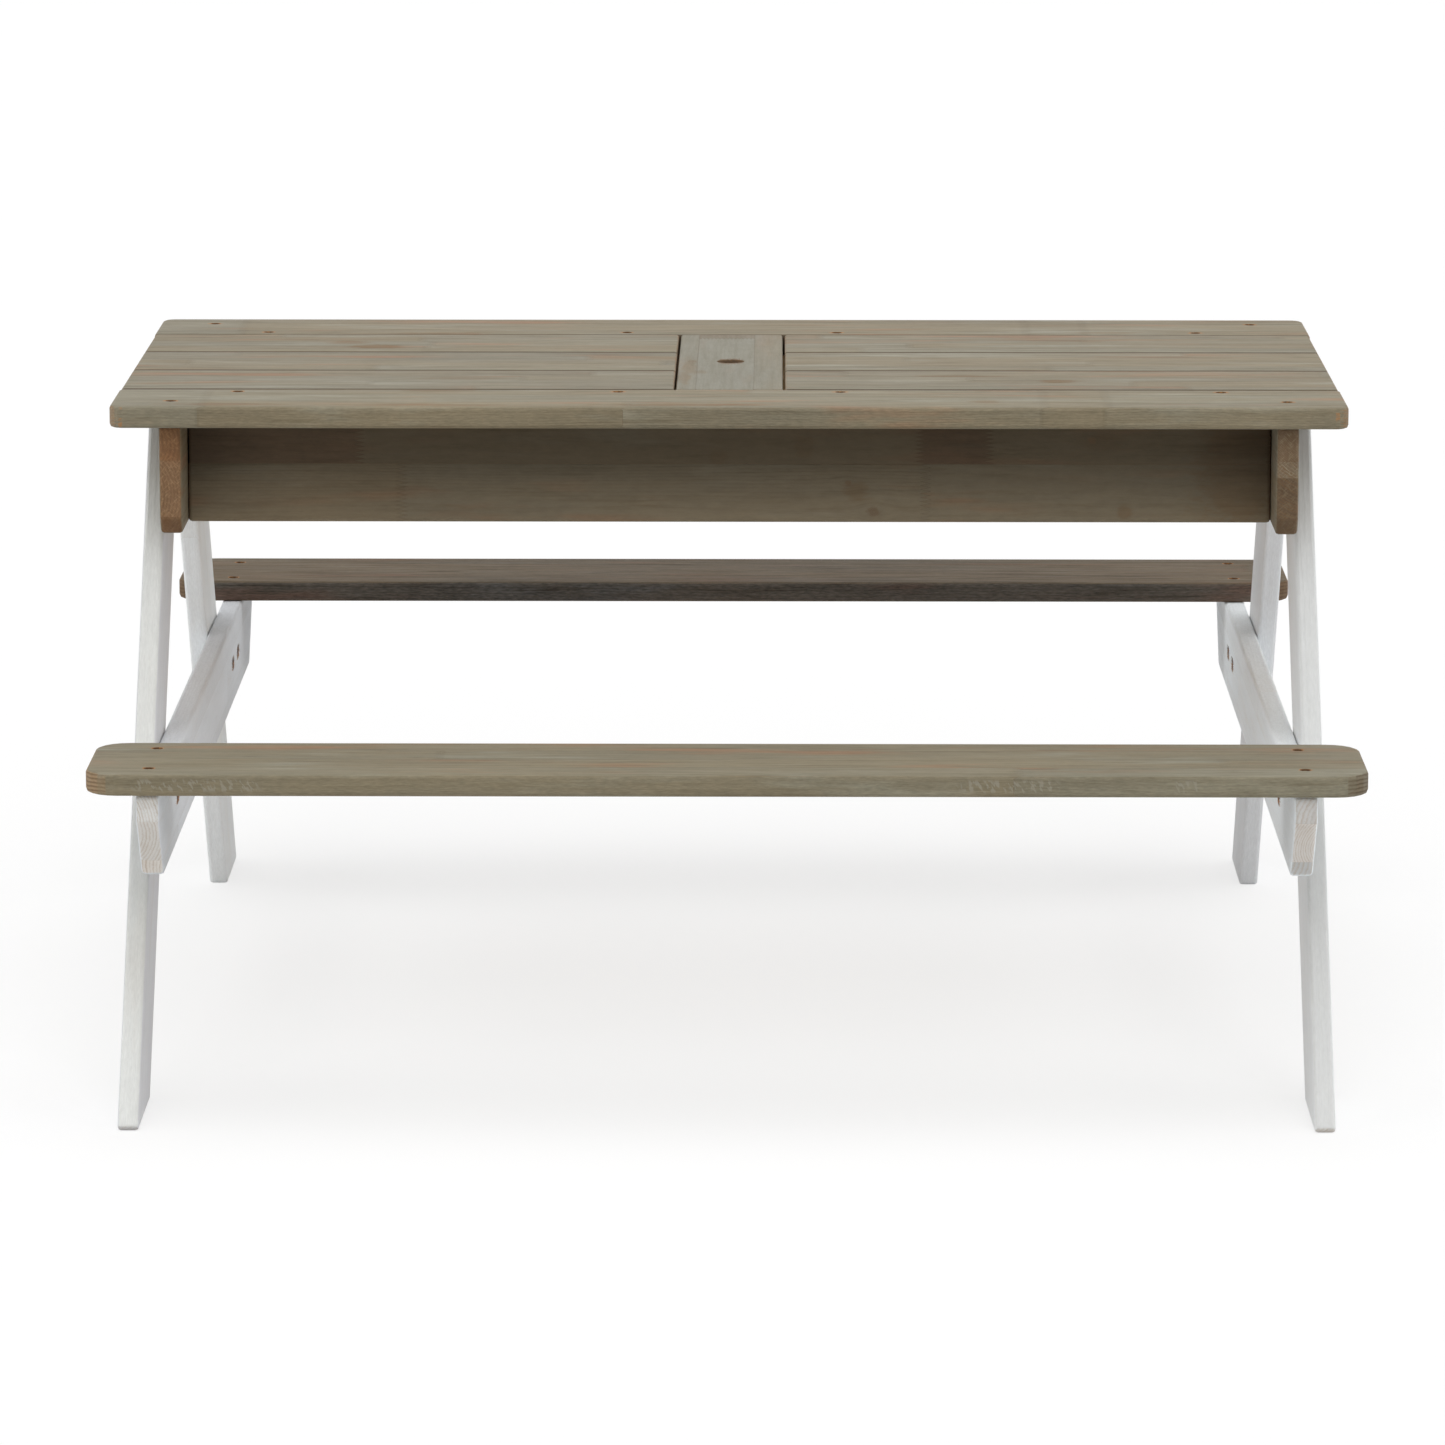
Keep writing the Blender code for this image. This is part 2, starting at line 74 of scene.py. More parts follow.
# Light and floor
WORLD_STRENGTH = 0.20
# Each light: height over the floor, turn to the right of the front, softness, strength
SOFT_LIGHTS = {
    "key_light": (radians(38), radians(4), radians(40), 0.80),
    "top_light": (radians(85), 0.0, radians(60), 1.38),
    "left_light": (radians(15), radians(-82), radians(60), 1.25),
    "right_light": (radians(15), radians(82), radians(60), 1.25),
}
FLOOR_HALF_SIZE = 40.0
FLOOR_WHITENING = 0.70
FLOOR_SHADE = 0.80

# Grain, shared by every board
RING_SPACING = 0.0018
RING_SPREAD = 0.0022
RING_DRIFT = 0.016
HEART_REACH = 0.034
HEART_DEPTH = 0.03
FINGER_LENGTH = 0.009
FINGER_PITCH = 0.0036
TOOTH_LINE = 0.0028
GLUE_LINE = 0.00022
BLOCK_LENGTH = 0.43
EDGE_RADIUS = 0.0018
EDGE_SAMPLES = 6
GRAIN_RELIEF = 0.00025
GROOVE_REACH = 0.0034

# Screws: their heads are as wide as the CAD heads
HEAD_HEIGHT = 0.003
HEAD_RIM = 0.0003
SHANK_SHARE = 0.5
TIP_LENGTH = 0.004
TURNED_SIDES = 32
RECESS_REACH = 0.55
RECESS_WIDTH = 0.13
RECESS_DEPTH = 0.0018
RECESS_TAPER = 0.6
PAN_RADIUS = 0.004
PAN_HEIGHT = 0.0014
PAN_FOOT = 0.0005
SCREW_MARGIN = 0.0003
MOUTH_FLARE = 0.001
FINGER_HOLE_RADIUS = 0.0125

LEG_LEAN = radians(36.68)
SEED = 11
dice = random.Random(SEED)

X = Vector((1, 0, 0))
Y = Vector((0, 1, 0))
Z = Vector((0, 0, 1))
SIDES = {"left": -1, "right": 1}
ENDS = {"front": -1, "back": 1}


def srgb(code):
    """A linear RGBA colour from an sRGB hex code."""
    parts = [int(code[at:at + 2], 16) / 255 for at in (0, 2, 4)]
    linear = [part / 12.92 if part <= 0.04045 else ((part + 0.055) / 1.055) ** 2.4 for part in parts]
    return (*linear, 1.0)


def palette(**codes):
    return {name: srgb(code) for name, code in codes.items()}


class Finish:
    """The colours of a wood finish, and how strongly the grain shows through it."""

    def __init__(self, slot, colours, rings, fibres, tint, end_grain, roughness):
        self.slot = slot
        self.colours = colours
        self.rings = rings
        self.fibres = fibres
        self.tint = tint
        self.end_grain = end_grain
        self.roughness = roughness


BROWN = Finish(
    "brown_stain",
    palette(face="857F6F", warm="877D69", rosy="927760", pale="928E7F", late="695E4B",
            knot="64503C", end="8C6848", end_dark="573A24", worn="B08F68", corner="A07A54",
            groove="463829", torn="A5764A", wall="70503A", smudge="E8D2BC"),
    rings=0.24, fibres=0.20, tint=1.0, end_grain=0.85, roughness=(0.55, 0.75),
)
WHITE = Finish(
    "white_stain",
    palette(face="E9EBEC", warm="E2E3E3", rosy="DEDBD7", pale="ECEDEE", late="D2D0CC",
            knot="B8A68C", end="E6DFD6", end_dark="B9A48E", worn="E3DFD8", corner="D8CCBE",
            groove="8A7C6C", torn="A26E38", wall="5E3C20"),
    rings=0.08, fibres=0.06, tint=0.35, end_grain=0.8, roughness=(0.5, 0.7),
)
RAW = Finish(
    "raw_pine",
    palette(face="CFAA78", warm="D8BA8C", rosy="CE9F6E", pale="DCC398", late="A87845",
            knot="7A4A24", end="BE915C", end_dark="8A5A30", worn="D9BE92", corner="C79B66"),
    rings=0.5, fibres=0.12, tint=0.8, end_grain=0.7, roughness=(0.6, 0.8),
)
PLYWOOD = Finish(
    "plywood",
    palette(face="C9A777", warm="C19A68", rosy="B98E5E", pale="D4B78C", late="A67F50",
            knot="7A512C", end="A88355", end_dark="8F6A42", worn="D2B88F", corner="B08A5A"),
    rings=0.5, fibres=0.12, tint=0.8, end_grain=0.7, roughness=(0.6, 0.8),
)
HOLE_DIRT_AND_SHADE = srgb("3A291B")
FINGER_HOLE_WALL = srgb("7A654F")
# Stains, and painted light and shade: the share of each colour that a board keeps
PLAIN_STAIN = (1.0, 1.0, 1.0)
# Painted shade: the apron is darker because it lies in the shade under the tabletop's overhang
APRON_PAINTED_SHADE = (0.48, 0.44, 0.395)
FRONT_PLANK_STAIN = (1.05, 1.06, 1.05)
# Painted shade: the front faces of the planks are darker than their tops
PLANK_EDGE_PAINTED_SHADE = (0.92, 0.90, 0.85)
FRONT_SEAT_STAIN = (0.97, 0.99, 0.98)
# Painted shade: the front faces of the seats are darker than their tops
SEAT_EDGE_PAINTED_SHADE = (0.90, 0.87, 0.81)
# Painted shadow: the back seat lies behind the tabletop, so its shares are darker, with a bluish front
# face
BACK_SEAT_PAINTED_SHADOW = (0.365, 0.310, 0.258)
BACK_SEAT_EDGE_PAINTED_SHADOW = (1.14, 1.38, 2.0)
CENTRE_STAIN = (1.0, 1.05, 1.13)
# Painted light and shade: each white leg is made lighter or darker for how the lights fall on it
LEG_PAINTED_LIGHT = {
    "front_left": (0.88, 0.87, 0.89),
    "front_right": (1.03, 1.03, 1.03),
    "back_left": (1.17, 1.18, 1.18),
    "back_right": (0.99, 0.99, 1.0),
}
# Painted light and shade on the lit front faces of the front legs
LEG_FACE_PAINTED_SHADE = {"front_left": (1.02, 1.025, 0.965), "front_right": (0.82, 0.815, 0.80)}
LEG_CALM = {"front_right": 0.5}
FRONT_SEAT_END_TONES = ((1.0, 1.0, 1.0), (0.58, 0.66, 0.72))
BACK_SEAT_END_TONES = ((0.7, 0.7, 0.7), (0.7, 0.7, 0.7))
# Painted light: the right seat cross member is lighter and bluer, making up for the shade on its inner
# face
SEAT_CROSSMEMBER_PAINTED_LIGHT = {"left": (0.97, 0.99, 1.03), "right": (1.14, 1.18, 1.21)}
SEAT_CROSSMEMBER_END_STAINS = {"left": (1.10, 1.12, 1.13), "right": (0.93, 0.95, 0.98)}
TOP_CROSSMEMBER_STAINS = {"left": (0.82, 0.75, 0.66), "right": (0.95, 0.915, 0.89)}
TOP_CROSSMEMBER_END_STAINS = {"left": (0.93, 0.89, 0.88), "right": (0.64, 0.77, 0.92)}

# Marks, laid out as class Board says
CROSSMEMBER_TONES = {
    "left": ((-0.3, 0.3, 0.0177, 0.1, 0.65, 1.2), (-0.3, 0.3, -0.0325, 0.0177, 0.3, 0.0),
             (-0.3, 0.3, -0.1, -0.0325, 0.85, 0.5)),
    "right": ((-0.3, 0.3, 0.0177, 0.1, 0.3, 0.2), (-0.3, 0.3, 0.0032, 0.0177, -0.1, -0.3),
              (-0.3, 0.3, -0.1, 0.0032, 0.93, 0.9)),
}
RING_LEAN = {"left": (0.0, 0.0), "right": (0.05, 0.0)}
CROSSMEMBER_END_RINGS = {"left": None, "right": (0.0177, 0.1, 1.0, 0.0021)}
SEAT_END_RINGS = (-0.1, 0.1, 0.06, 0.0035)
PLANK_SMUDGES = {
    "front": ((-0.440, -0.040, 0.060, 0.010, 0.8), (-0.270, -0.044, 0.100, 0.008, 0.7),
              (-0.045, -0.042, 0.085, 0.008, 0.9), (-0.260, 0.046, 0.040, 0.007, 0.8),
              (0.225, -0.020, 0.016, 0.010, 0.7)),
    "back": ((-0.270, -0.046, 0.050, 0.008, 0.7), (0.350, -0.040, 0.040, 0.008, 0.6)),
}
LID_SMUDGES = {
    "left_lid_plank_1": ((0.060, 0.010, 0.050, 0.012, 0.5),),
    "left_lid_plank_3": ((-0.034, -0.024, 0.030, 0.016, 1.0), (-0.060, 0.004, 0.022, 0.012, 0.8)),
    "right_lid_plank_1": ((0.000, -0.006, 0.022, 0.012, 1.0), (-0.090, 0.026, 0.050, 0.006, 0.9)),
    "right_lid_plank_3": ((0.020, 0.020, 0.050, 0.010, 0.6),),
}


class Term:
    """One shader value that can be used in a formula."""

    def __init__(self, graph, socket):
        self.graph = graph
        self.socket = socket

    def __add__(self, other):
        return self.graph.math("ADD", self, other)

    def __radd__(self, other):
        return self.graph.math("ADD", other, self)

    def __sub__(self, other):
        return self.graph.math("SUBTRACT", self, other)

    def __rsub__(self, other):
        return self.graph.math("SUBTRACT", other, self)

    def __mul__(self, other):
        return self.graph.math("MULTIPLY", self, other)

    def __rmul__(self, other):
        return self.graph.math("MULTIPLY", other, self)

    def __truediv__(self, other):
        return self.graph.math("DIVIDE", self, other)

    def __abs__(self):
        return self.graph.math("ABSOLUTE", self)

    def floor(self):
        return self.graph.math("FLOOR", self)

    def fract(self):
        return self.graph.math("FRACT", self)

    def above(self, edge):
        return self.graph.math("GREATER_THAN", self, edge)

    def least(self, other):
        return self.graph.math("MINIMUM", self, other)

    def most(self, other):
        return self.graph.math("MAXIMUM", self, other)


class Graph:
    """Short calls that add nodes to one shader tree."""

    def __init__(self, tree):
        self.tree = tree
        tree.nodes.clear()

    def node(self, kind, inputs=None, **settings):
        made = self.tree.nodes.new(kind)
        for name, value in settings.items():
            setattr(made, name, value)
        for name, value in (inputs or {}).items():
            self.feed(made.inputs[name], value)
        return made

    def feed(self, socket, value):
        if isinstance(value, Term):
            self.tree.links.new(value.socket, socket)
        else:
            socket.default_value = value

    def math(self, operation, *values):
        made = self.node("ShaderNodeMath", operation=operation)
        for socket, value in zip(made.inputs, values):
            self.feed(socket, value)
        return Term(self, made.outputs[0])

    def value(self, number):
        return self.math("ADD", number, 0.0)

    def dot(self, first, second):
        made = self.node("ShaderNodeVectorMath", operation="DOT_PRODUCT")
        self.feed(made.inputs[0], first)
        self.feed(made.inputs[1], second)
        return Term(self, made.outputs["Value"])

    def distance(self, first, second):
        made = self.node("ShaderNodeVectorMath", operation="DISTANCE")
        self.feed(made.inputs[0], first)
        self.feed(made.inputs[1], second)
        return Term(self, made.outputs["Value"])

    def vector(self, x, y, z):
        made = self.node("ShaderNodeCombineXYZ", {"X": x, "Y": y, "Z": z})
        return Term(self, made.outputs[0])

    def split(self, colour):
        made = self.node("ShaderNodeSeparateColor", {"Color": colour})
        return [Term(self, socket) for socket in made.outputs]

    def noise(self, place, scale=1.0, detail=2.0, roughness=0.5):
        inputs = {"Vector": place, "Scale": scale, "Detail": detail, "Roughness": roughness}
        return Term(self, self.node("ShaderNodeTexNoise", inputs).outputs["Fac"])

    def noise_colour(self, place, detail=1.0):
        inputs = {"Vector": place, "Scale": 1.0, "Detail": detail}
        return Term(self, self.node("ShaderNodeTexNoise", inputs).outputs["Color"])

    def chance(self, x, y, z):
        """Three random values that stay the same for the same inputs."""
        made = self.node("ShaderNodeTexWhiteNoise", {"Vector": self.vector(x, y, z)})
        return self.split(Term(self, made.outputs["Color"]))

    def ease(self, value, low, high):
        """0 below low, 1 above high and smooth between; low may be the larger."""
        made = self.node(
            "ShaderNodeMapRange", {"Value": value}, interpolation_type="SMOOTHSTEP"
        )
        made.inputs["From Min"].default_value = min(low, high)
        made.inputs["From Max"].default_value = max(low, high)
        made.inputs["To Min"].default_value = 0.0 if low < high else 1.0
        made.inputs["To Max"].default_value = 1.0 if low < high else 0.0
        return Term(self, made.outputs["Result"])

    def mix(self, share, first, second, blend="MIX"):
        made = self.node("ShaderNodeMix", data_type="RGBA", blend_type=blend)
        self.feed(made.inputs["Factor"], share)
        self.feed(made.inputs[6], first)
        self.feed(made.inputs[7], second)
        return Term(self, made.outputs[2])

    def show(self, shader, kind="ShaderNodeOutputMaterial"):
        output = self.node(kind)
        self.tree.links.new(shader.outputs[0], output.inputs[0])


class Board:
    """Where a board lies, which way its grain runs, how it is glued up and its marks.

    Places on a board are metres along and across it from its middle.
    strips: glued seams, across. block: mean length of a finger-jointed block.
    knots: (along, across, radius). patches: (from, to, bottom, top, shade, warmth).
    smudges: (along, across, reach along, reach across, strength).
    grooves: the sides, -1 or 1 across, that lie against a neighbour.
    holes: a ScrewHoles. chatter: (from, to) runs of plane marks on the front edge.
    stain: its share of each colour, which on some boards also holds painted light and shade;
    edge_stain: painted light and shade, a further share on the narrow faces.
    dark_ends: (reach, share), painted shade that darkens both ends; a share below 0 paints
    the shade in the middle instead. fade: (from, rate), painted shade: how fast the colour grows
    paler below a place across. arcs: how clear the end rings are.
    burrs: torn wood where the ends begin to round. lean: shifts the heart of the rings
    across and through. calm: how much figure shows. cut_stain: the stain on the end grain.
    end_rings: (bottom, top, slope, pitch), straight rings that a part of the end grain shows.
    end_tones: the share of the colours at the rounded left and right ends.
    """

    def __init__(self, node, along, across, strips=(), block=BLOCK_LENGTH, knots=(), patches=(),
                 smudges=(), grooves=(), holes=None, chatter=(), end_stain=1.0, stain=PLAIN_STAIN,
                 edge_stain=PLAIN_STAIN, dark_ends=None, fade=None, arcs=0.25, burrs=0.0,
                 lean=(0.0, 0.0), calm=1.0, cut_stain=None, end_rings=None, end_tones=None):
        low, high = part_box(node)
        self.centre = (low + high) / 2
        self.half_length = abs((high - low).dot(along)) / 2
        self.half_width = abs((high - low).dot(across)) / 2
        self.along = along
        self.across = across
        self.through = along.cross(across)
        self.strips = strips
        self.block = block
        self.knots = knots
        self.patches = patches
        self.smudges = smudges
        self.grooves = grooves
        self.holes = holes
        self.chatter = chatter
        self.end_stain = end_stain
        self.stain = stain
        self.edge_stain = edge_stain
        self.dark_ends = dark_ends
        self.fade = fade
        self.arcs = arcs
        self.burrs = burrs
        self.lean = lean
        self.calm = calm
        self.cut_stain = cut_stain or stain
        self.end_rings = end_rings
        self.end_tones = end_tones
        self.seed = dice.uniform(0, 50)


class ScrewHoles:
    """The mouths of the screw holes in one face of a board.

    tear: how far the wood is torn off along the grain. painted_upper_shade: painted shade, how
    dark the upper half of the torn wood is. dirt_and_shade: how dark the walls are below, from dirt
    and painted shade. bare: how much fresh wood the walls show. wall: their colour, if it isn't the
    one of the finish.
    """

    def __init__(self, nodes, outward, face, radius, tear=0.003, painted_upper_shade=0.0, dirt_and_shade=0.7,
                 bare=1.0, wall=None):
        self.outward = outward
        self.level = face
        self.radius = radius
        self.tear = tear
        self.painted_upper_shade = painted_upper_shade
        self.dirt_and_shade = dirt_and_shade
        self.bare = bare
        self.wall = wall
        self.points = []
        for node in nodes:
            point = middle_of(node)
            point += outward * (face - point.dot(outward))
            self.points.append(point)


class Figure:
    """The wood figure of one board, as shader values."""

    def __init__(self, graph, board):
        g = self.graph = graph
        self.board = board
        self.spot = Term(g, g.node("ShaderNodeTexCoord").outputs["Object"])
        moved = g.node("ShaderNodeVectorMath", operation="SUBTRACT")
        g.feed(moved.inputs[0], self.spot)
        moved.inputs[1].default_value = board.centre
        local = Term(g, moved.outputs[0])
        self.x = g.dot(local, board.along)
        self.y = g.dot(local, board.across)
        self.z = g.dot(local, board.through)
        self.read_normals()
        self.find_block()
        self.bend_round_knots()
        self.draw_rings()
        self.draw_fibres()

    def read_normals(self):
        """Which way the surface faces, with the sharp edges rounded."""
        g = self.graph
        bevel = g.node("ShaderNodeBevel", {"Radius": EDGE_RADIUS}, samples=EDGE_SAMPLES)
        self.rounded = Term(g, bevel.outputs[0])
        true = Term(g, g.node("ShaderNodeNewGeometry").outputs["True Normal"])
        turned = g.node(
            "ShaderNodeVectorTransform",
            {"Vector": self.rounded},
            vector_type="NORMAL",
            convert_from="WORLD",
            convert_to="OBJECT",
        )
        normal = Term(g, turned.outputs[0])
        endwise = abs(g.dot(normal, self.board.along))
        self.edge = g.ease(1.0 - g.dot(self.rounded, true), 0.01, 0.16)
        self.end = g.ease(endwise, 0.45, 0.75)
        self.corner = g.ease(endwise, 0.36, 0.50)
        self.burr = g.ease(endwise, 0.05, 0.14) * g.ease(endwise, 0.36, 0.22)
        sideways = g.dot(normal, self.board.across)
        self.front = g.ease(sideways, -0.6, -0.85)
        self.narrow = g.ease(abs(sideways), 0.5, 0.85)

    def find_block(self):
        """Edge-glued strips, each of blocks that end in finger joints."""
        g = self.graph
        board = self.board
        strip = g.value(0.0)
        seam = g.value(1.0)
        edges = (-board.half_width, *board.strips, board.half_width)
        middles = [(low + high) / 2 for low, high in zip(edges, edges[1:])]
        self.middle = g.value(middles[0])
        for edge, below, over in zip(board.strips, middles, middles[1:]):
            past = self.y.above(edge)
            strip = strip + past
            self.middle = self.middle + past * (over - below)
            seam = seam.least(abs(self.y - edge))
        fingers = abs((self.y / FINGER_PITCH).fract() * 2.0 - 1.0) * FINGER_LENGTH
        offset = g.chance(strip, board.seed, 1.0)[0]
        along = (self.x + fingers) / board.block + offset * 7.0 + 20.0
        block = along.floor()
        joint = (0.5 - abs(along.fract() - 0.5)) * board.block
        self.chances = g.chance(strip, block, board.seed)
        self.shade, self.warmth, _ = g.chance(block, strip, board.seed + 5.0)
        place = self.x + fingers
        self.teeth = g.value(0.0)
        for start, end, bottom, top, shade, warmth in board.patches:
            level = self.y.above(bottom) * (1.0 - self.y.above(top))
            near = abs(place - start).least(abs(place - end))
            self.teeth = self.teeth.most(level * g.ease(near, TOOTH_LINE, TOOTH_LINE * 0.3))
            inside = level * place.above(start) * (1.0 - place.above(end))
            self.shade = self.shade * (1.0 - inside) + inside * shade
            self.warmth = self.warmth * (1.0 - inside) + inside * warmth
            self.chances[0] = self.chances[0] + inside * (0.37 + start)
        self.glue = g.ease(seam.least(joint), GLUE_LINE * 2, GLUE_LINE)

    def bend_round_knots(self):
        """Lines of grain part round each knot; the knot has small rings of its own."""
        g = self.graph
        self.knot = g.value(0.0)
        self.knot_rings = g.value(0.0)
        self.flow = self.y
        ragged = g.noise(self.spot, 190.0, 3.0, 0.6)
        for knot_x, knot_y, radius in self.board.knots:
            dx = self.x - knot_x
            dy = self.y - knot_y
            reach = (dx * dx) / (radius * 3.2) ** 2 + (dy * dy) / (radius * 1.9) ** 2
            pull = g.math("EXPONENT", reach * -1.0)
            self.flow = self.flow - dy * pull * 0.85
            ring = g.math("SQRT", (dx * dx) / 1.7 + dy * dy)
            core = g.ease(ring / radius + ragged * 1.1, 1.45, 0.95)
            rings = g.ease(abs((ring / 0.0014).fract() - 0.5), 0.1, 0.4)
            self.knot = self.knot.most(core)
            self.knot_rings = self.knot_rings.most(core * rings)

    def draw_rings(self):
        """Growth rings round a heart that lies outside the block, drifting along the board."""
        g = self.graph
        shift_y, shift_z, spread = self.chances
        place = g.vector(self.x * 2.3 + shift_y * 40.0, self.flow * 9.0 + shift_z * 40.0, self.z * 9.0)
        drift_y, drift_z, _ = g.split(g.noise_colour(place, 2.0))
        lean_y, lean_z = self.board.lean
        heart_y = self.middle + (shift_y - 0.5) * HEART_REACH + lean_y
        heart_z = (shift_z - 0.5) * HEART_REACH + (shift_z.above(0.5) * 2.0 - 1.0) * HEART_DEPTH + lean_z
        ring_y = self.flow - heart_y + (drift_y - 0.5) * RING_DRIFT
        ring_z = self.z - heart_z + (drift_z - 0.5) * RING_DRIFT
        radius = g.math("SQRT", ring_y * ring_y + ring_z * ring_z)
        rough = g.noise(g.vector(self.x * 30.0, self.flow * 260.0, self.z * 260.0))
        count = radius / (spread * RING_SPREAD + RING_SPACING) + (rough - 0.5) * 0.55
        year = g.chance(count.floor(), self.board.seed, spread)[0]
        part = count.fract()
        self.late = g.ease(part, 0.35, 0.88) * g.ease(part, 1.0, 0.93) * (year * 0.65 + 0.35)

    def cut_rings(self):
        """The late wood that the end grain shows."""
        g = self.graph
        if not self.board.end_rings:
            return self.late
        bottom, top, slope, pitch = self.board.end_rings
        wave = g.noise(g.vector(self.x * 30.0, self.y * 60.0, self.z * 60.0)) * 0.9
        count = (self.y * slope + self.z) / pitch + wave
        part = count.fract()
        rings = g.ease(part, 0.25, 0.6) * g.ease(part, 0.95, 0.75)
        inside = self.y.above(bottom) * (1.0 - self.y.above(top))
        return self.late * (1.0 - inside) + rings * inside

    def draw_fibres(self):
        """Fine fibres, streaks, broad bands, clouds of stain and a fine mottle."""
        g = self.graph
        own = self.chances[2] * 30.0
        x, y, z = self.x, self.flow, self.z
        self.fibre = g.noise(g.vector(x * 45.0 + own, y * 1500.0, z * 1500.0), 1.0, 3.0, 0.6)
        self.streak = g.noise(g.vector(x * 11.0 + own, y * 150.0, z * 150.0), 1.0, 4.0, 0.65)
        self.band = g.noise(g.vector(x * 5.0 - own, y * 45.0, z * 45.0), 1.0, 3.0, 0.55)
        self.tint = g.noise(g.vector(x * 4.5 + own, y * 34.0 + 9.0, z * 34.0), 1.0, 3.0, 0.6)
        self.cloud = g.noise(self.spot, 5.0)
        self.mottle = g.noise(g.vector(x * 70.0 + own, y * 160.0, z * 160.0), 1.0, 3.0, 0.7)
        self.grit = g.noise(g.vector(x * 150.0 + own, y * 900.0, z * 900.0), 1.0, 3.0, 0.6)
        self.speck = g.ease(g.noise(self.spot, 1100.0), 0.60, 0.70)
        rising = g.noise(g.vector(x * 40.0 + own, (y + z) * 800.0, (y - z) * 110.0), 1.0, 2.0)
        falling = g.noise(g.vector(x * 40.0 - own, (y + z) * 110.0, (y - z) * 800.0), 1.0, 2.0)
        self.scratch = g.ease(rising.most(falling), 0.56, 0.66)

    def groove_shade(self):
        """Dirt and painted shade where the board lies against a neighbour: darker towards the groove."""
        gap = self.graph.value(1.0)
        for side in self.board.grooves:
            gap = gap.least(self.board.half_width - self.y * side)
        return self.graph.ease(gap + self.streak * 0.0006, GROOVE_REACH, GROOVE_REACH * 0.4)

    def smudge_shade(self):
        """Soft rosy smudges with ragged edges."""
        g = self.graph
        shade = g.value(0.0)
        for along, across, reach_along, reach_across, strength in self.board.smudges:
            dx = (self.x - along) / reach_along
            dy = (self.y - across) / reach_across
            soft = g.math("EXPONENT", (dx * dx + dy * dy) * -1.0)
            shade = shade.most(g.ease(soft + (self.mottle - 0.5) * 1.3, 0.25, 0.8) * strength)
        return shade

    def chatter_marks(self):
        """Short pale scribbles that a planer left along the middle of the front edge."""
        g = self.graph
        place = g.vector(self.x * 270.0 + self.z * 130.0, self.z * 120.0, 0.0)
        ticks = g.ease(g.noise(place, 1.0, 2.0, 0.6), 0.50, 0.60) * g.ease(abs(self.z), 0.007, 0.003)
        inside = g.value(0.0)
        for start, end in self.board.chatter:
            fade = abs(self.x - (start + end) / 2) / ((end - start) / 2)
            inside = inside.most(g.ease(fade, 1.0, 0.7))
        return ticks * inside * self.front

    def hole_walls(self, colours):
        """The walls inside the screw holes, and their colour: bare at the mouth and darker below, from
        dirt and painted shade.
        """
        g = self.graph
        holes = self.board.holes
        near = g.value(1.0)
        for point in holes.points:
            near = near.least(g.distance(self.spot, point))
        depth = holes.level - g.dot(self.spot, holes.outward)
        wall = g.ease(near, holes.radius + 0.0012, holes.radius + 0.0007)
        patchy = g.ease(g.noise(self.spot, 330.0, 1.0), 0.50, 0.64)
        bare = g.mix(patchy * holes.bare, holes.wall or colours["wall"], colours["torn"])
        # Dirt and painted shade: the walls grow darker deeper in the hole
        bare = g.mix(g.ease(depth, 0.0003, 0.0018) * holes.dirt_and_shade, bare, HOLE_DIRT_AND_SHADE)
        return wall * g.ease(depth, 0.00005, 0.0002), bare

    def torn_rims(self):
        """Wood torn loose along the grain beside each screw hole, and painted shade in its upper half.
        """
        g = self.graph
        board = self.board
        holes = board.holes
        torn = g.value(0.0)
        painted_upper_shade = g.value(0.0)
        noise = g.noise(g.vector(self.x * 260.0, self.y * 700.0, self.z * 700.0))
        ragged = (noise * 4.0 - 1.5) * holes.tear
        for point in holes.points:
            offset = point - board.centre
            over = (self.y - offset.dot(board.across)) / holes.radius
            rim = g.math("SQRT", (1.0 - over * over).most(0.0)) * holes.radius
            beyond = abs(self.x - offset.dot(board.along)) - rim
            one = g.ease(beyond - ragged, 0.0006, 0.0) * g.ease(abs(over), 1.0, 0.75)
            torn = torn.most(one)
            painted_upper_shade = painted_upper_shade.most(one * g.ease(over, -0.25, 0.15))
        depth = abs(holes.level - g.dot(self.spot, holes.outward))
        return torn * g.ease(depth, 0.002, 0.001), painted_upper_shade * holes.painted_upper_shade


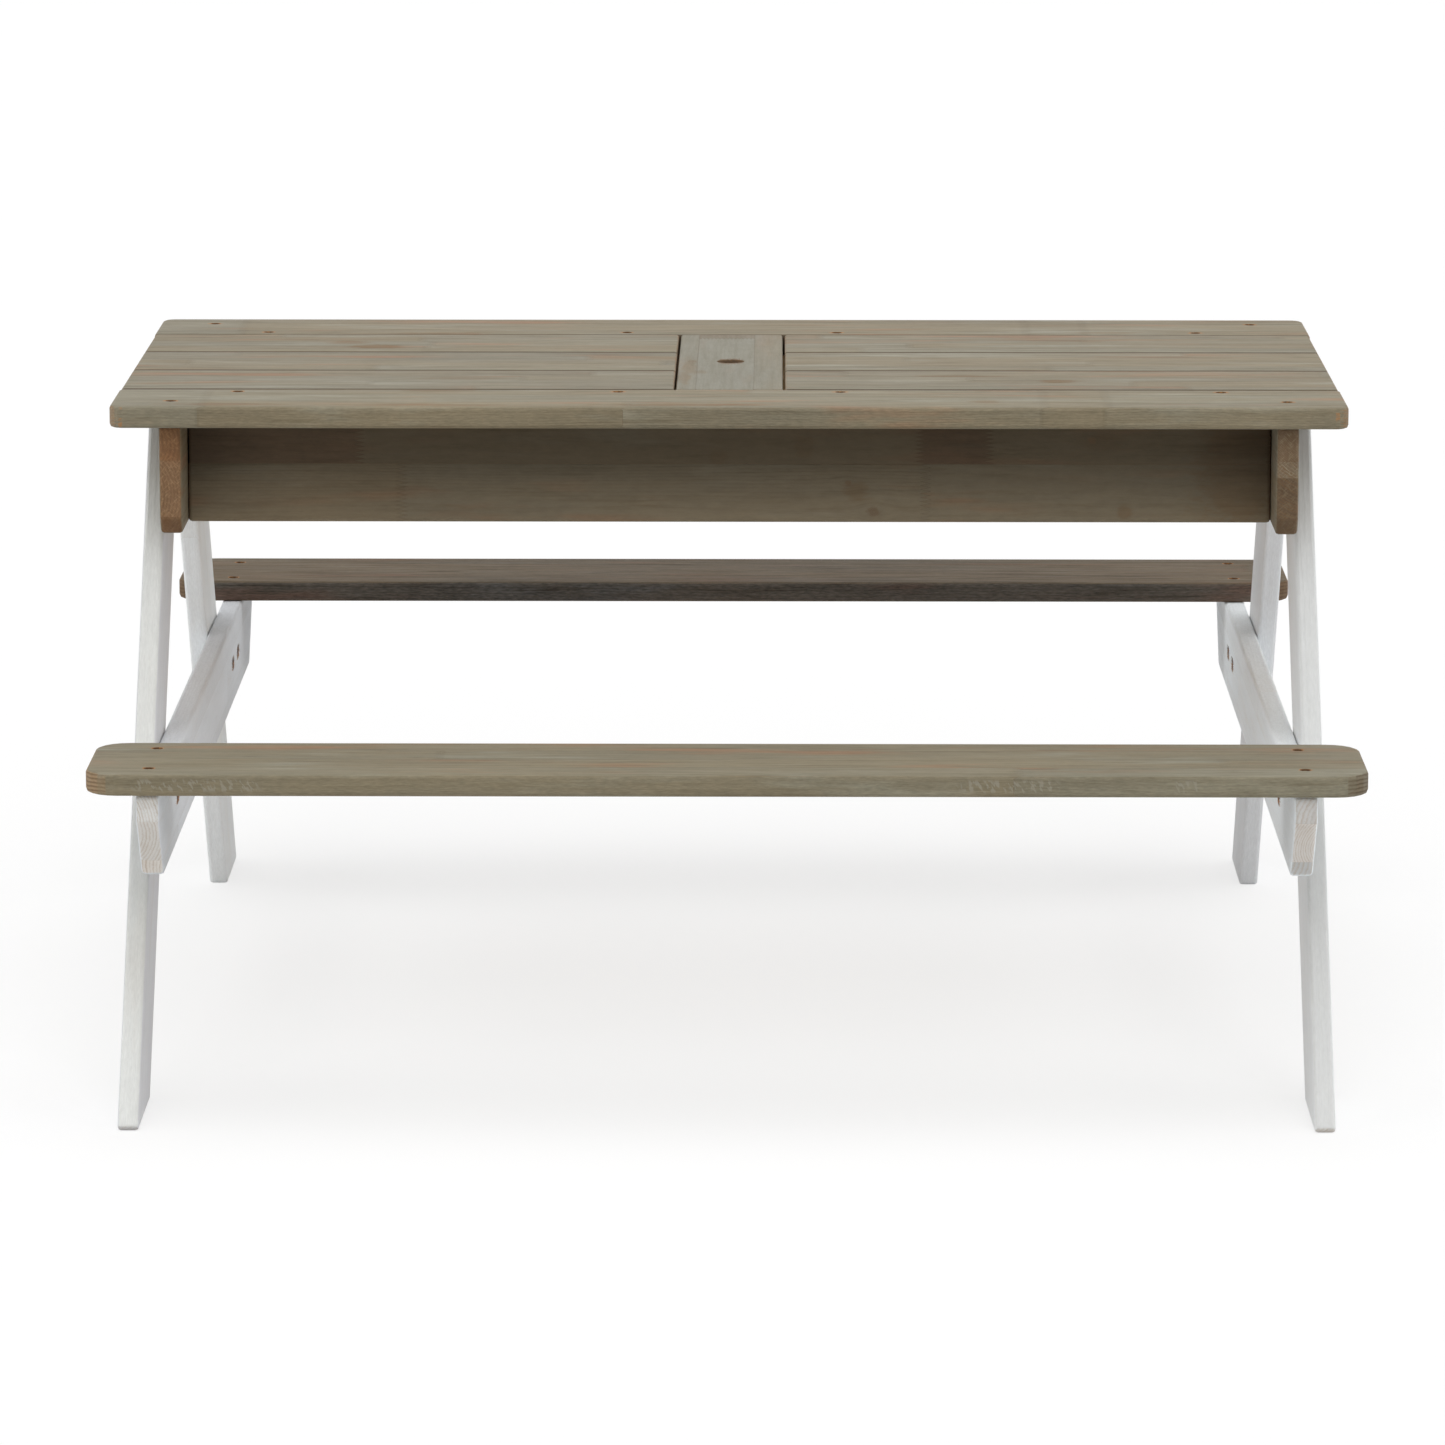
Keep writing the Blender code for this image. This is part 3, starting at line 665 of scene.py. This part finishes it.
def stained(g, w, board, finish):
    """Stain over the figure, with the painted light and shade that some boards take, before any marks.
    """
    c = finish.colours
    tint = finish.tint * min(board.calm, 1.0)
    colour = g.mix(g.ease(w.warmth + w.band * 0.8, 0.5, 1.3), c["face"], c["warm"])
    colour = g.mix(g.ease(w.warmth, 1.2, 2.2), colour, c["rosy"])
    colour = g.mix(g.ease(w.tint, 0.54, 0.72) * tint, colour, c["rosy"])
    colour = g.mix(g.ease(w.tint, 0.46, 0.28) * tint, colour, c["pale"])
    dark = w.late * (finish.rings * board.calm) + g.ease(w.fibre, 0.5, 0.75) * finish.fibres
    dark = dark + g.ease(w.streak, 0.5, 0.74) * (finish.fibres * board.calm * 2.0)
    colour = g.mix(dark, colour, c["late"])
    uneven = (0.5 - w.shade) * 0.10 + (w.cloud - 0.5) * 0.16 + (w.mottle - 0.5) * 0.26
    uneven = uneven + (w.band - 0.5) * (board.calm * 0.40)
    uneven = uneven + (w.grit - 0.5) * (w.narrow * 0.45 + board.calm * board.calm * 0.3)
    level = uneven * finish.tint + 1.0
    # Painted shade: darker above from and paler below it, in place of the tabletop's soft shadow on the
    # apron
    if board.fade:
        start, rate = board.fade
        level = level * ((start - w.y).most(0.0) * rate + 1.0)
    # Painted shade: darker towards both ends, where the cross members shade the board; a share below 0
    # darkens the middle instead
    if board.dark_ends:
        reach, share = board.dark_ends
        near_end = g.ease(board.half_length - abs(w.x), reach, 0.0)
        level = level - near_end * (1.0 - w.narrow * 0.7) * share
    # On the apron, the back seat, the legs and the seat cross members this share also holds painted
    # light and shade
    red, green, blue = board.stain
    colour = g.mix(1.0, colour, g.vector(level * red, level * green, level * blue), "MULTIPLY")
    # Painted light and shade on the narrow faces
    return g.mix(w.narrow, colour, (*board.edge_stain, 1.0), "MULTIPLY")


def marked(g, w, board, finish, colour):
    """Knots, glue lines, end grain, worn edges, grooves and screw holes over the stain."""
    c = finish.colours
    colour = g.mix(w.knot * 0.45 + w.knot_rings * 0.2, colour, c["knot"])
    colour = g.mix(w.glue * (finish.tint * 0.35), colour, c["knot"])
    if board.patches:
        colour = g.mix(w.teeth * (0.22 - w.narrow * 0.08), colour, c["groove"])
    if board.smudges:
        colour = g.mix(w.smudge_shade(), colour, c["smudge"], "MULTIPLY")
    rings = w.cut_rings()
    ring_share = rings * 0.85 + g.ease(w.band, 0.4, 0.75) * 0.3
    end_colour = g.mix(ring_share, c["end"], c["end_dark"])
    end_colour = g.mix(w.speck * 0.5, end_colour, c["knot"])
    end_colour = g.mix(w.scratch * 0.5, end_colour, c["worn"])
    tone = (0.5 - w.shade) * 0.7 + 1.0
    warm = (w.warmth - 0.5) * 0.12
    red, green, blue = board.cut_stain
    tones = g.vector(tone * (warm + 1.0) * red, tone * green, tone * (1.0 - warm) * blue)
    end_colour = g.mix(1.0, end_colour, tones, "MULTIPLY")
    colour = g.mix(w.end * (finish.end_grain * board.end_stain), colour, end_colour)
    if board.end_tones:
        left_tone, right_tone = board.end_tones
        tones = g.mix(w.x.above(0.0), (*left_tone, 1.0), (*right_tone, 1.0))
        colour = g.mix(w.corner * 0.33, colour, c["worn"])
        colour = g.mix(w.corner * rings * board.arcs, colour, c["end_dark"])
        colour = g.mix(w.corner, colour, tones, "MULTIPLY")
    else:
        arcs = g.ease(rings, 0.35, 0.65)
        colour = g.mix(w.corner * arcs * board.arcs, colour, c["corner"])
    if board.burrs:
        colour = g.mix(w.burr * w.narrow * g.ease(w.mottle, 0.48, 0.6) * board.burrs, colour, c["torn"])
    worn = w.edge * g.ease(w.cloud + w.streak * 0.5, 0.62, 0.95) * (1.0 - w.end * 0.5)
    colour = g.mix(worn * 0.5, colour, c["worn"])
    if board.chatter:
        colour = g.mix(w.chatter_marks() * 0.7, colour, c["pale"])
    if board.grooves:
        # Dirt and painted shade in the grooves between boards
        colour = g.mix(w.groove_shade() * 0.9, colour, c["groove"])
    if board.holes:
        # Painted shade: the upper half of the torn wood is darkened
        torn, painted_upper_shade = w.torn_rims()
        fresh = board.holes.wall or c["torn"]
        colour = g.mix(torn * 0.85, colour, g.mix(painted_upper_shade, fresh, HOLE_DIRT_AND_SHADE))
        wall, bare = w.hole_walls(c)
        colour = g.mix(wall, colour, bare)
    return colour


def finish_wood(name, board, finish):
    """The material of one board."""
    material = bpy.data.materials.new(name)
    material.use_nodes = True
    g = Graph(material.node_tree)
    w = Figure(g, board)
    colour = marked(g, w, board, finish, stained(g, w, board, finish))
    height = w.late * 0.5 + w.fibre * 0.5 - w.glue * 0.6 - w.end * w.speck * 0.6
    bump = g.node(
        "ShaderNodeBump",
        {"Strength": 1.0, "Distance": GRAIN_RELIEF, "Height": height, "Normal": w.rounded},
    )
    smooth, rough = finish.roughness
    roughness = g.ease(w.streak, 0.2, 0.8) * (rough - smooth) + smooth
    shader = g.node(
        "ShaderNodeBsdfPrincipled",
        {"Base Color": colour, "Roughness": roughness, "Normal": Term(g, bump.outputs[0])},
    )
    shader.inputs["Specular IOR Level"].default_value = 0.2
    g.show(shader)
    return material


def middle_of(node):
    low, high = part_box(node)
    return (low + high) / 2


def nodes_named(*words):
    return [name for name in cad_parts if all(word in name for word in words)]


def mouth_of(node, flare=0.0):
    """The radius of the hole round a CAD screw, which is flared where the board is thick."""
    low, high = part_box(node)
    return (high - low).y / 2 + SCREW_MARGIN + flare


def paint(node, finish, **layout):
    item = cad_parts[node]
    item.data.materials.clear()
    item.data.materials.append(finish_wood(node + "_finish", Board(node, **layout), finish))


def paint_top(end):
    """An edge plank of the tabletop and the apron under it."""
    way = ENDS[end]
    seam = 0.0047
    screws = nodes_named(end + "_plank_")
    paint(end + "_top_plank", BROWN, along=X, across=Y, strips=(-0.024, 0.022), block=3.0,
          patches=((-0.6, -0.455, -0.1, 0.1, 0.2, 0.1), (0.28, 0.335, -0.1, 0.1, 0.9, 0.9)),
          grooves=(-way,), holes=ScrewHoles(screws, Z, cad_high.z, mouth_of(screws[0])),
          smudges=PLANK_SMUDGES[end], stain=FRONT_PLANK_STAIN if end == "front" else PLAIN_STAIN,
          end_stain=0.45, edge_stain=PLANK_EDGE_PAINTED_SHADE, arcs=0.45, burrs=0.7)
    # The apron takes painted shade: a darker share, darker ends and a darker upper part
    paint(end + "_apron", BROWN, along=X, across=Z, strips=(seam,), block=3.0, stain=APRON_PAINTED_SHADE,
          knots=((0.128, -0.038, 0.006), (0.105, -0.012, 0.003), (0.320, 0.026, 0.004)),
          patches=((-0.7, 0.7, seam, 0.2, 1.4, 0.9), (-0.7, 0.7, -0.2, seam, 0.7, 0.3),
                   (0.173, 0.234, seam, 0.2, 3.5, 1.7), (-0.7, -0.322, seam, 0.2, 3.0, 1.7),
                   (-0.7, -0.285, -0.2, seam, 0.9, 0.6)),
          smudges=((0.112, -0.020, 0.013, 0.011, 0.5), (0.066, 0.020, 0.010, 0.012, 0.3),
                   (0.331, 0.024, 0.024, 0.010, 0.25), (0.349, -0.038, 0.008, 0.009, 0.5),
                   (0.452, 0.000, 0.045, 0.070, 0.65), (-0.010, 0.010, 0.010, 0.008, 0.3)),
          dark_ends=(0.09, 0.18), fade=(seam, 16.5), calm=0.6)


def paint_seat(end):
    screws = nodes_named(end + "_seat_")
    front = end == "front"
    seat_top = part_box(end + "_seat")[1].z
    paint(end + "_seat", BROWN, along=X, across=Y, strips=(-0.038, -0.004, 0.036),
          block=1.3 if front else 3.0, end_stain=0.35, arcs=0.5, end_rings=SEAT_END_RINGS,
          end_tones=FRONT_SEAT_END_TONES if front else BACK_SEAT_END_TONES,
          holes=ScrewHoles(screws, Z, seat_top, mouth_of(screws[0]), tear=0.0015),
          chatter=((-0.508, -0.385), (0.190, 0.285), (0.375, 0.400)) if front else (),
          stain=FRONT_SEAT_STAIN if front else BACK_SEAT_PAINTED_SHADOW,
          # Painted shade in the middle of the back seat, under the tabletop
          dark_ends=None if front else (0.45, -0.38),
          edge_stain=SEAT_EDGE_PAINTED_SHADE if front else BACK_SEAT_EDGE_PAINTED_SHADOW, calm=1.0 if front else 2.2)


def paint_end_frame(side):
    """The cross members and legs of one end."""
    way = SIDES[side]
    inner = min(abs(corner.x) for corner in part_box(side + "_seat_crossmember"))
    screws = nodes_named(side + "_leg_screw")
    paint(side + "_top_crossmember", BROWN, along=Y, across=Z, strips=(-0.0325, 0.0177), block=3.0,
          patches=CROSSMEMBER_TONES[side], lean=RING_LEAN[side],
          end_rings=CROSSMEMBER_END_RINGS[side],
          stain=TOP_CROSSMEMBER_STAINS[side], cut_stain=TOP_CROSSMEMBER_END_STAINS[side])
    paint(side + "_seat_crossmember", WHITE, along=Y, across=Z, strips=(-0.024, 0.016),
          stain=SEAT_CROSSMEMBER_PAINTED_LIGHT[side], cut_stain=SEAT_CROSSMEMBER_END_STAINS[side],
          holes=ScrewHoles(screws, X * -way, -inner, mouth_of(screws[0], MOUTH_FLARE), tear=0.014,
                           painted_upper_shade=0.8, dirt_and_shade=0.9))
    for end in ENDS:
        leg = end + "_" + side
        lean = LEG_LEAN if end == "front" else -LEG_LEAN
        along = Vector((0, sin(lean), cos(lean)))
        paint(leg + "_leg", WHITE, along=along, across=along.cross(X), block=1.7,
              stain=LEG_PAINTED_LIGHT[leg], edge_stain=LEG_FACE_PAINTED_SHADE.get(leg, PLAIN_STAIN),
              calm=LEG_CALM.get(leg, 1.0))


def paint_lid(side):
    for number in (1, 2, 3):
        shift = dice.uniform(-0.01, 0.01)
        plank = side + "_lid_plank_" + str(number)
        paint(plank, BROWN, along=X, across=Y, strips=(-0.030 + shift, 0.002 + shift, 0.031 + shift),
              grooves=(-1, 1), smudges=LID_SMUDGES.get(plank, ()), end_stain=0.45, arcs=0.5)
    for label in ("inner", "outer"):
        paint(side + "_lid_" + label + "_batten", RAW, along=Y, across=X)


def paint_centre_board():
    """Grey in the middle strip and warmer at both sides, with a few rosy smudges."""
    finger_hole = ScrewHoles(["centre_board"], Z, cad_high.z, FINGER_HOLE_RADIUS, tear=0.009, dirt_and_shade=0.2,
                             bare=0.2, wall=FINGER_HOLE_WALL)
    paint("centre_board", BROWN, along=Y, across=X, strips=(-0.030, 0.0215), block=3.0,
          patches=((-0.3, 0.3, -0.1, -0.030, 0.5, 0.3), (-0.3, 0.3, -0.030, 0.0215, 0.0, -0.6),
                   (0.160, 0.3, -0.030, 0.0215, 2.4, 1.5), (-0.3, 0.3, 0.0215, 0.1, 0.5, 0.6)),
          smudges=((-0.035, -0.037, 0.060, 0.008, 0.55), (-0.105, -0.041, 0.045, 0.007, 0.6),
                   (-0.070, -0.028, 0.014, 0.010, 0.5), (0.000, -0.036, 0.008, 0.006, 0.7)),
          holes=finger_hole, end_stain=0.45, stain=CENTRE_STAIN, calm=0.25)


def paint_frame():
    for end in ENDS:
        paint_top(end)
        paint_seat(end)
        paint(end + "_base_cleat", RAW, along=X, across=Z)
    for side in SIDES:
        paint_end_frame(side)
        paint_lid(side)
        paint(side + "_bearer", RAW, along=Y, across=X)
        paint(side + "_base_cleat", RAW, along=Y, across=X)
    paint_centre_board()
    paint("sandbox_base", PLYWOOD, along=X, across=Y)


def yellow_zinc():
    """Passivated steel: greenish gold with dull patches and specks of stain."""
    material = bpy.data.materials.new("yellow_zinc")
    material.use_nodes = True
    g = Graph(material.node_tree)
    spot = Term(g, g.node("ShaderNodeTexCoord").outputs["Object"])
    patch = g.noise(spot, 420.0, 3.0)
    speck = g.noise(spot, 1300.0, 3.0, 0.6)
    colour = g.mix(g.ease(patch, 0.35, 0.65), srgb("B5A25C"), srgb("A38A45"))
    colour = g.mix(g.ease(speck, 0.6, 0.72) * 0.6, colour, srgb("5E5140"))
    bump = g.node("ShaderNodeBump", {"Strength": 0.4, "Distance": 0.00005, "Height": speck})
    shader = g.node(
        "ShaderNodeBsdfPrincipled",
        {
            "Base Color": colour,
            "Roughness": g.ease(patch, 0.3, 0.7) * 0.15 + 0.3,
            "Normal": Term(g, bump.outputs[0]),
        },
    )
    shader.inputs["Metallic"].default_value = 1.0
    g.show(shader)
    return material


def turned_object(name, profile):
    """A solid made by turning (radius, height) points, listed from top to bottom, round Z."""
    shape = bmesh.new()
    points = [shape.verts.new((radius, 0, height)) for radius, height in profile]
    edges = [shape.edges.new(pair) for pair in zip(points, points[1:])]
    bmesh.ops.spin(
        shape, geom=points + edges, axis=Z, cent=(0, 0, 0), angle=2 * pi, steps=TURNED_SIDES
    )
    bmesh.ops.remove_doubles(shape, verts=shape.verts, dist=0.000001)
    bmesh.ops.recalc_face_normals(shape, faces=shape.faces)
    return object_of(name, shape)


def object_of(name, shape):
    mesh = bpy.data.meshes.new(name)
    shape.to_mesh(mesh)
    shape.free()
    item = bpy.data.objects.new(name, mesh)
    bpy.context.scene.collection.objects.link(item)
    return item


def cross_cutter(radius, top):
    """A tapered cross that cuts a drive recess into a head whose crown is at height top."""
    reach = radius * RECESS_REACH
    arm = radius * RECESS_WIDTH
    outline = []
    for quarter in range(4):
        turn = Matrix.Rotation(quarter * pi / 2, 3, "Z")
        outline += [turn @ Vector(point) for point in ((reach, -arm, 0), (reach, arm, 0), (arm, arm, 0))]
    shape = bmesh.new()
    over = Z * (top + RECESS_DEPTH)
    under = Z * (top - RECESS_DEPTH)
    upper = [shape.verts.new(point * (2 - RECESS_TAPER) + over) for point in outline]
    lower = [shape.verts.new(point * RECESS_TAPER + under) for point in outline]
    shape.faces.new(upper)
    shape.faces.new(reversed(lower))
    for at in range(len(outline)):
        shape.faces.new((upper[at - 1], upper[at], lower[at], lower[at - 1]))
    bmesh.ops.recalc_face_normals(shape, faces=shape.faces)
    return object_of("recess", shape)


def with_recess(item, radius, top):
    """The item's mesh with a cross recess cut into its head; the item itself goes."""
    cutter = cross_cutter(radius, top)
    boolean = item.modifiers.new("recess", "BOOLEAN")
    boolean.object = cutter
    evaluated = item.evaluated_get(bpy.context.evaluated_depsgraph_get())
    mesh = bpy.data.meshes.new_from_object(evaluated)
    mesh.name = item.name
    for helper in (item, cutter):
        bpy.data.objects.remove(helper)
    mesh.set_sharp_from_angle(angle=radians(30))
    return mesh


def countersunk_mesh(radius, length):
    """A wood screw with its crown at the origin, pointing down."""
    shank = radius * SHANK_SHARE
    profile = [
        (0, 0),
        (radius - HEAD_RIM, 0),
        (radius, -HEAD_RIM),
        (shank, -HEAD_HEIGHT),
        (shank, -length + TIP_LENGTH),
        (0, -length),
    ]
    return with_recess(turned_object("countersunk_screw", profile), radius, 0.0)


def pan_mesh():
    """A low pan head that stands on a face."""
    profile = [
        (0, PAN_HEIGHT),
        (PAN_RADIUS * 0.55, PAN_HEIGHT * 0.95),
        (PAN_RADIUS * 0.85, PAN_HEIGHT * 0.7),
        (PAN_RADIUS, PAN_HEIGHT * 0.25),
        (PAN_RADIUS, 0),
        (PAN_RADIUS * 0.9, -PAN_FOOT),
        (0, -PAN_FOOT),
    ]
    return with_recess(turned_object("pan_head", profile), PAN_RADIUS, PAN_HEIGHT * 0.9)


def standing(point, outward):
    """The place of a screw: its crown at point, facing outward, turned at random."""
    tilt = Z.rotation_difference(outward).to_matrix().to_4x4()
    return Matrix.Translation(point) @ tilt @ Matrix.Rotation(dice.uniform(0, pi), 4, "Z")


def dress_screws(zinc):
    """Every CAD screw gets a turned head with a drive recess."""
    meshes = {}
    for node in nodes_named("_screw"):
        low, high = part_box(node)
        outward = Z
        if "_leg_screw" in node:
            outward = X if "_left_" in node else -X
        length = abs((high - low).dot(outward))
        radius = (high - low).y / 2
        key = (round(radius, 4), round(length, 4))
        if key not in meshes:
            meshes[key] = countersunk_mesh(radius, length)
            meshes[key].materials.append(zinc)
        screw = bpy.data.objects.new(node + "_dressed", meshes[key])
        bpy.context.scene.collection.objects.link(screw)
        screw.matrix_world = standing((low + high) / 2 + outward * length / 2, outward)
        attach(screw, "frame")
        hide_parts(node)


def add_heads(name, body, head, places, outward):
    """One piece that holds the heads of several screws on a face."""
    shape = bmesh.new()
    for place in places:
        copy = head.copy()
        copy.transform(standing(place, outward))
        shape.from_mesh(copy)
        bpy.data.meshes.remove(copy)
    piece = object_of(name, shape)
    piece.data.materials.append(head.materials[0])
    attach(piece, body)


def add_hidden_screws(zinc):
    """Screws that the photo hides: in the ends of the aprons, the legs, the lids and the floor."""
    head = pan_mesh()
    head.materials.append(zinc)
    apron_line = abs(middle_of("front_apron").y)
    frame_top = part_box("front_apron")[1].z
    floor_low, floor_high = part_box("sandbox_base")
    for side, way in SIDES.items():
        low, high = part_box(side + "_top_crossmember")
        outer = high.x if way > 0 else low.x
        inner = low.x if way > 0 else high.x
        apron_rows = [Vector((outer, end * apron_line, frame_top - drop))
                      for end in ENDS.values() for drop in (0.022, 0.047)]
        add_heads(side + "_apron_screws", "frame", head, apron_rows, X * way)
        leg_rows = [Vector((inner, end * line, frame_top - drop))
                    for end in ENDS.values() for line, drop in ((0.108, 0.030), (0.130, 0.050))]
        add_heads(side + "_upper_leg_screws", "frame", head, leg_rows, X * -way)
        lid_rows = []
        for label in ("inner", "outer"):
            batten_low, batten_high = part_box(side + "_lid_" + label + "_batten")
            line = (batten_low.x + batten_high.x) / 2
            for number in (1, 2, 3):
                plank = middle_of(side + "_lid_plank_" + str(number)).y
                lid_rows += [Vector((line, plank + off, batten_low.z)) for off in (-0.036, 0.036)]
        add_heads(side + "_lid_screws", side + "_lid", head, lid_rows, -Z)
    floor_rows = [Vector((share * floor_high.x, end * (floor_high.y - 0.010), floor_high.z))
                  for end in ENDS.values() for share in (-0.93, -0.56, -0.19, 0.19, 0.56, 0.93)]
    add_heads("floor_screws", "frame", head, floor_rows, Z)


def add_camera():
    look = Vector((sin(CAMERA_YAW), cos(CAMERA_YAW), 0)) * cos(CAMERA_PITCH) - Z * sin(CAMERA_PITCH)
    right = Vector((cos(CAMERA_YAW), -sin(CAMERA_YAW), 0))
    turn = Matrix.Rotation(CAMERA_ROLL, 3, look)
    down = turn @ look.cross(right)
    right = turn @ right
    data = bpy.data.cameras.new("photo_camera")
    data.sensor_width = SENSOR_WIDTH
    data.lens = CAMERA_LENS
    data.shift_x, data.shift_y = CAMERA_SHIFT
    data.clip_start = 0.1
    data.clip_end = 200.0
    camera = bpy.data.objects.new("photo_camera", data)
    rotation = Matrix((right, -down, -look)).transposed()
    camera.matrix_world = Matrix.Translation(CAMERA_PLACE) @ rotation.to_4x4()
    bpy.context.scene.collection.objects.link(camera)
    bpy.context.scene.camera = camera


def add_soft_light(name, height, turn, softness, strength):
    """A broad far light: its height over the floor and its turn to the right of the front."""
    data = bpy.data.lights.new(name, "SUN")
    data.energy = strength
    data.angle = softness
    light = bpy.data.objects.new(name, data)
    shine = Vector((-sin(turn) * cos(height), cos(turn) * cos(height), -sin(height)))
    light.rotation_euler = shine.to_track_quat("-Z", "Y").to_euler()
    bpy.context.scene.collection.objects.link(light)


def seen_white(graph):
    """1 for rays that show the background: from the camera, or off and through glossy things."""
    path = graph.node("ShaderNodeLightPath")
    seen = Term(graph, path.outputs["Is Camera Ray"])
    seen = seen.most(Term(graph, path.outputs["Is Glossy Ray"]))
    return seen.most(Term(graph, path.outputs["Is Transmission Ray"]))


def set_world():
    world = bpy.data.worlds.new("studio")
    bpy.context.scene.world = world
    world.use_nodes = True
    g = Graph(world.node_tree)
    strength = seen_white(g) * (1.0 - WORLD_STRENGTH) + WORLD_STRENGTH
    white = {"Color": (1.0, 1.0, 1.0, 1.0), "Strength": strength}
    g.show(g.node("ShaderNodeBackground", white), "ShaderNodeOutputWorld")


def add_floor():
    shape = bmesh.new()
    bmesh.ops.create_grid(shape, size=FLOOR_HALF_SIZE)
    floor = object_of("floor", shape)
    material = bpy.data.materials.new("pale_floor")
    material.use_nodes = True
    g = Graph(material.node_tree)
    seen = seen_white(g)
    level = seen * (1.0 - FLOOR_SHADE) + FLOOR_SHADE
    diffuse = g.node("ShaderNodeBsdfDiffuse", {"Color": g.vector(level, level, level)})
    glow = g.node("ShaderNodeEmission", {"Color": (1.0, 1.0, 1.0, 1.0), "Strength": 1.0})
    both = g.node("ShaderNodeMixShader", {"Fac": seen * FLOOR_WHITENING})
    g.tree.links.new(diffuse.outputs[0], both.inputs[1])
    g.tree.links.new(glow.outputs[0], both.inputs[2])
    g.show(both)
    floor.data.materials.append(material)


add_camera()
set_world()
add_floor()
for light_name, light_facts in SOFT_LIGHTS.items():
    add_soft_light(light_name, *light_facts)
paint_frame()
zinc_finish = yellow_zinc()
dress_screws(zinc_finish)
add_hidden_screws(zinc_finish)
bpy.context.scene.view_settings.view_transform = "Standard"
